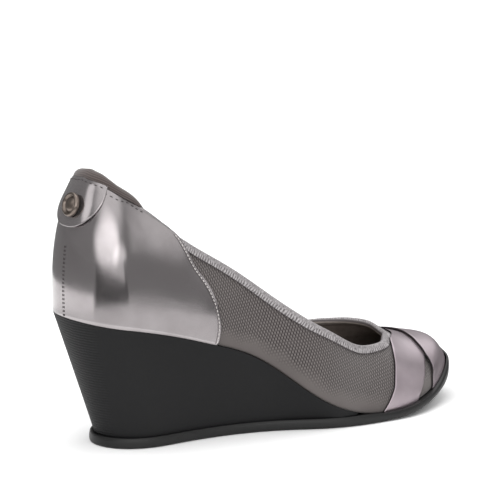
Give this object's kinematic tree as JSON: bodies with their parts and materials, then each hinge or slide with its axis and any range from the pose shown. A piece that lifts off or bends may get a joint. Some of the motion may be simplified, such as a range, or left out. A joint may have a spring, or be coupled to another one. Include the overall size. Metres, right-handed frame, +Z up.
{
  "type": "wedge heel shoe",
  "caption": "Closed-toe pump on a wedge sole, with a knit upper, leather heel counter, crossed toe straps, gathered elastic topline, padded collar and a heel tab with a stud.",
  "frame": {"origin": "middle of the shoe's footprint on the floor", "axes": "+X towards the toe, +Z up, outer side of the foot along -Y"},
  "size_m": [0.252, 0.0848, 0.1431],
  "materials": {
    "outsole_rubber": "satin moulded rubber",
    "wedge_rubber": "fine matt moulded foam rubber",
    "lining": "smooth lining leather",
    "knit": "ribbed stretch knit",
    "counter_leather": "metallised pewter leather, glossy",
    "strap_leather": "metallised mauve leather, satin",
    "elastic": "gathered elastic tape",
    "collar_knit": "fine rib knit over foam",
    "stud_metal": "dark polished metal"
  },
  "bodies": {
    "root": {"outsole": "outsole_rubber", "wedge": "wedge_rubber", "insole": "lining", "upper": "knit", "heel_counter": "counter_leather", "crossing_strap": "strap_leather", "toe_strap": "strap_leather", "topline_binding": "elastic", "collar_pad": "collar_knit", "heel_tab": "counter_leather", "stud": "stud_metal"}
  },
  "joints": []
}
